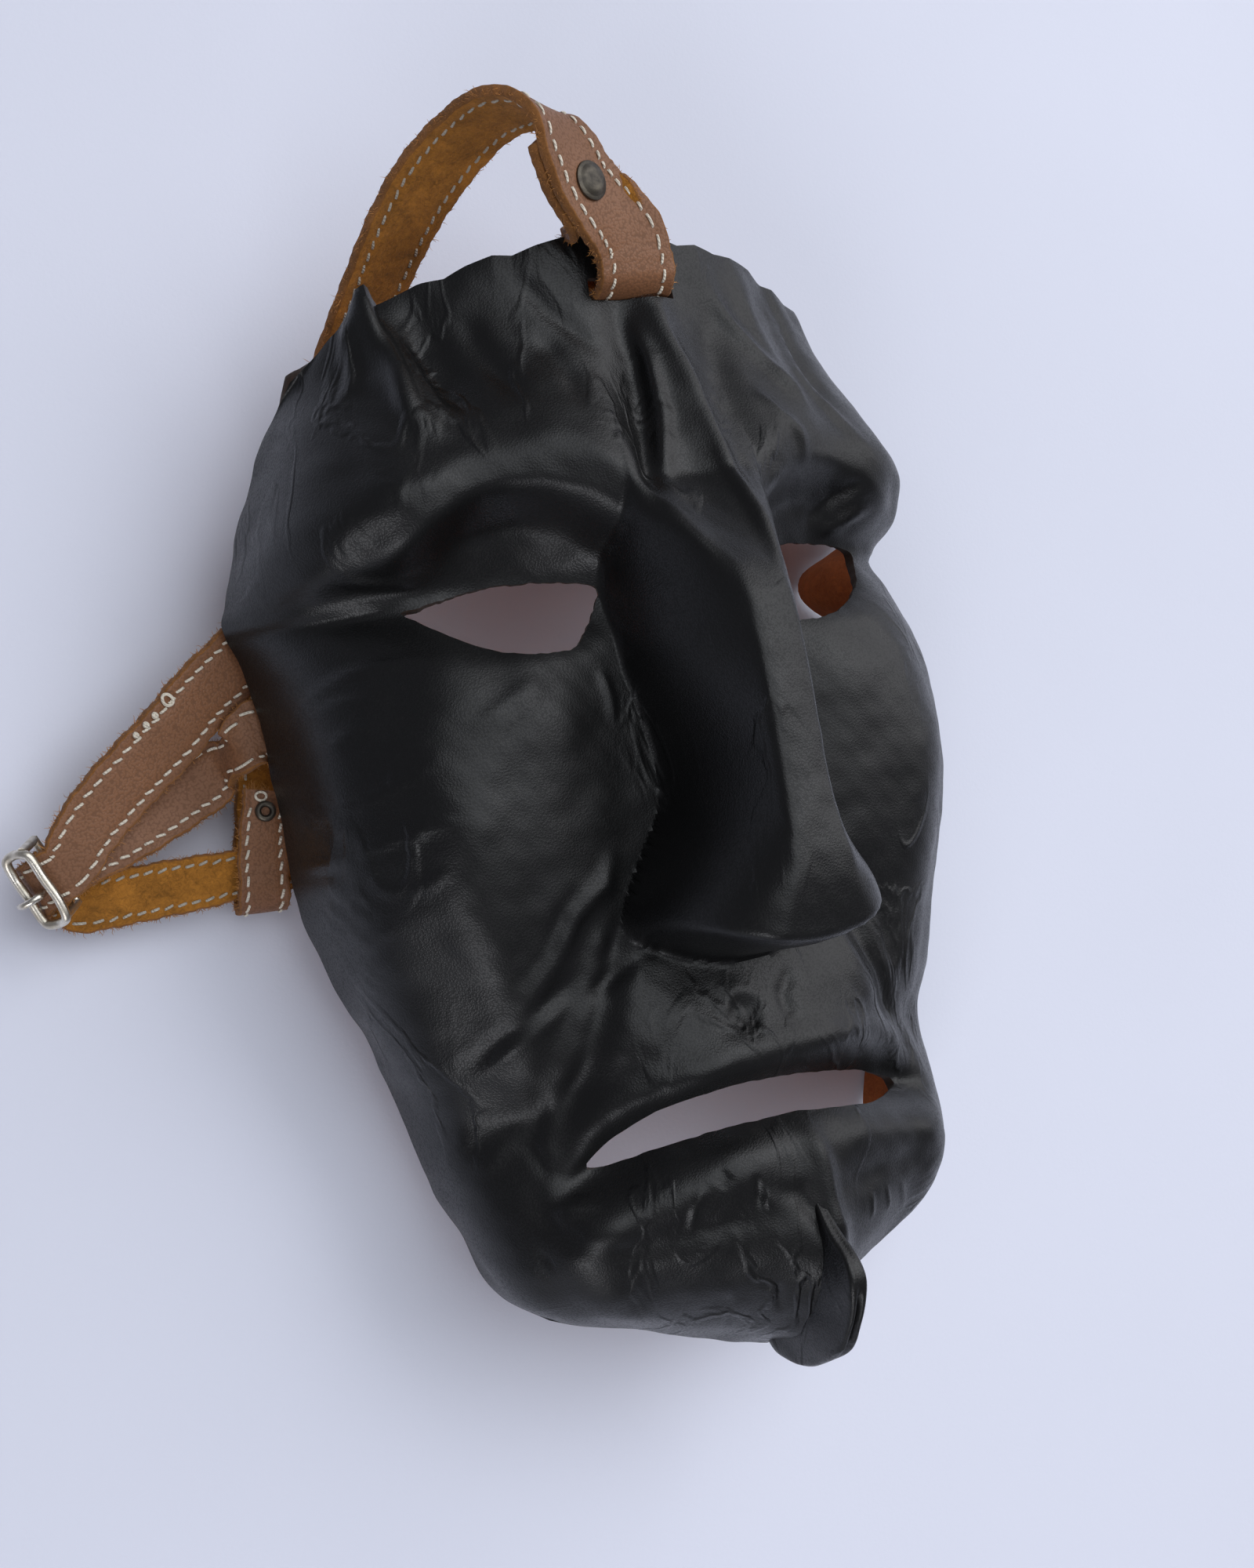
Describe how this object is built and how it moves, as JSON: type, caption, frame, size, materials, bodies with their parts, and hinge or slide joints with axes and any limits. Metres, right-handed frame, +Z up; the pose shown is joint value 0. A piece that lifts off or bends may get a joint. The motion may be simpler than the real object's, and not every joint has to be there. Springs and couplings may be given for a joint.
{
  "type": "carnival face mask",
  "caption": "Moulded black leather carnival face mask with eye holes and an open mouth slot, on a stitched brown leather strap harness with a buckle, lying face up.",
  "frame": {"origin": "centre of the object's bounding box, at the surface it lies on", "axes": "+Z up out of the face, +Y to the top of the head, +X to the wearer's left (the viewer's right)"},
  "size_m": [0.2266, 0.2814, 0.0945],
  "materials": {
    "mask_leather": "satin black, soft glossy patches",
    "strap_leather": "mid-brown grain outside, orange suede inside",
    "nickel": "pale nickel",
    "bronze": "dark bronze"
  },
  "bodies": {
    "root": {"mask_shell": "mask_leather", "head_strap": "strap_leather", "rear_strap": "strap_leather", "buckle_strap": "strap_leather", "buckle_frame": "nickel", "buckle_prong": "nickel", "crown_rivet": "bronze", "tab_rivet": "bronze"}
  },
  "joints": []
}
